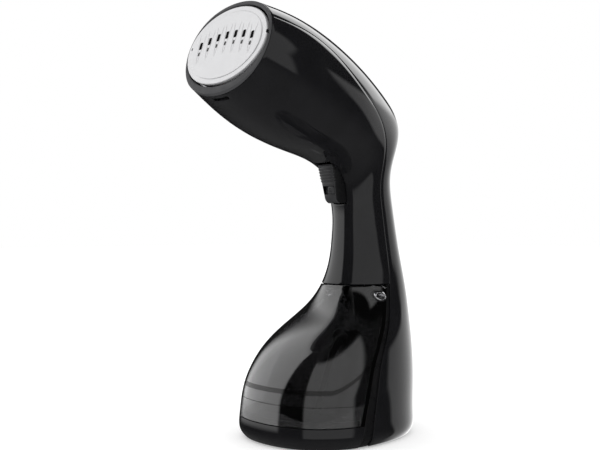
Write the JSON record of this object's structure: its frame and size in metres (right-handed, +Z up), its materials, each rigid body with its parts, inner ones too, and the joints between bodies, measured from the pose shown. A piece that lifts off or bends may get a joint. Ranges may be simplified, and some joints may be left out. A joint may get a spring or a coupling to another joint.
{
  "type": "garment steamer",
  "caption": "Upright handheld garment steamer that stands on its base: tilted oval steam head, hand grip with trigger, and a slide-out smoked water tank in front of the cord leg.",
  "frame": {"origin": "centre of the whole object's box, on the surface that it stands on", "axes": "+Z up; -Y the way the steam head faces and the tank slides out; +X to the object's left as seen from the front"},
  "size_m": [0.105, 0.1676, 0.2849],
  "materials": {
    "gloss_black": "high gloss moulded black",
    "satin_black": "satin moulded black",
    "bezel_grey": "matte heat-resistant charcoal",
    "soleplate_silver": "satin silver steam plate",
    "smoked_clear": "smoked transparent plastic, polished",
    "cast_aluminium": "as cast",
    "steel": "bright steel",
    "rubber_black": "matte rubber",
    "silicone_red": "silicone",
    "silicone_clear": "translucent silicone",
    "nylon_white": "natural nylon",
    "board_green": "coated circuit board",
    "copper_wrap": "wrapped copper winding",
    "button_clear": "polished, bright rim"
  },
  "bodies": {
    "body": {"front_housing": "gloss_black", "rear_cover": "gloss_black", "head_bezel": "bezel_grey", "soleplate": "soleplate_silver", "plate_gasket": "silicone_red", "boiler_block": "cast_aluminium", "heat_shield": "steel", "heating_element": "steel", "heater_terminal_left": "nylon_white", "heater_terminal_right": "nylon_white", "thermostat": "steel", "thermal_fuse": "nylon_white", "inlet_nozzle": "steel", "trigger_pin": "steel", "trigger_bracket": "satin_black", "microswitch": "satin_black", "trigger_spring": "steel", "tank_bay": "gloss_black", "tank_bay_roof": "gloss_black", "inlet_spout": "nylon_white", "pump_barrel": "nylon_white", "pump_coil": "copper_wrap", "pump_cushion_lower": "rubber_black", "pump_cushion_upper": "rubber_black", "pump_cradle": "satin_black", "suction_hose": "silicone_clear", "delivery_hose": "silicone_clear", "control_board": "board_green", "board_relay": "satin_black", "terminal_block": "nylon_white", "cord_gland": "rubber_black", "base_plate": "satin_black", "base_screw_left": "steel", "base_screw_right": "steel", "foot_rear_left": "rubber_black", "foot_rear_right": "rubber_black"},
    "tank": {"tank_shell": "smoked_clear", "tank_base_cap": "gloss_black", "tank_seal": "rubber_black", "outlet_valve": "nylon_white", "pickup_tube": "silicone_clear", "button_spring_left": "steel", "button_spring_right": "steel", "foot_front_left": "rubber_black", "foot_front_right": "rubber_black"},
    "trigger": {"trigger": "satin_black"},
    "trigger_lock": {"trigger_lock": "satin_black"},
    "switch_plunger": {"switch_plunger": "nylon_white"},
    "release_left": {"release_button_left": "button_clear"},
    "release_right": {"release_button_right": "button_clear"},
    "filler_flap": {"filler_flap": "satin_black", "filler_seal": "silicone_clear"}
  },
  "joints": [
    {"name": "trigger_press", "type": "hinge", "parent": "body", "child": "trigger", "pos_m": [0, 0.02677, 0.184], "axis": [1, 0, 0], "range_deg": [0, 7], "stiffness_Nm_per_rad": 0.3, "springref_deg": -8.59, "deforming": ["trigger_spring"]},
    {"name": "switch_press", "type": "slide", "parent": "body", "child": "switch_plunger", "axis": [0, 1, 0], "range_m": [0, 0.0018]},
    {"name": "lock_slide", "type": "slide", "parent": "trigger", "child": "trigger_lock", "axis": [-1, 0, 0], "range_m": [0, 0.0058]},
    {"name": "tank_slide", "type": "slide", "parent": "body", "child": "tank", "axis": [0, -1, 0], "range_m": [0, 0.11]},
    {"name": "release_left_press", "type": "slide", "parent": "tank", "child": "release_left", "axis": [1, 0, 0], "range_m": [0, 0.002], "stiffness_N_per_m": 700, "springref_m": -0.001, "deforming": ["button_spring_left"]},
    {"name": "release_right_press", "type": "slide", "parent": "tank", "child": "release_right", "axis": [-1, 0, 0], "range_m": [0, 0.002], "stiffness_N_per_m": 700, "springref_m": -0.001, "deforming": ["button_spring_right"]},
    {"name": "filler_hinge", "type": "hinge", "parent": "tank", "child": "filler_flap", "pos_m": [0, -0.01193, 0.0018], "axis": [1, 0, 0], "range_deg": [0, 100]}
  ],
  "couplings": [
    {"joint": "switch_press", "follows": "trigger_press", "m_per_rad": 0.0135}
  ]
}
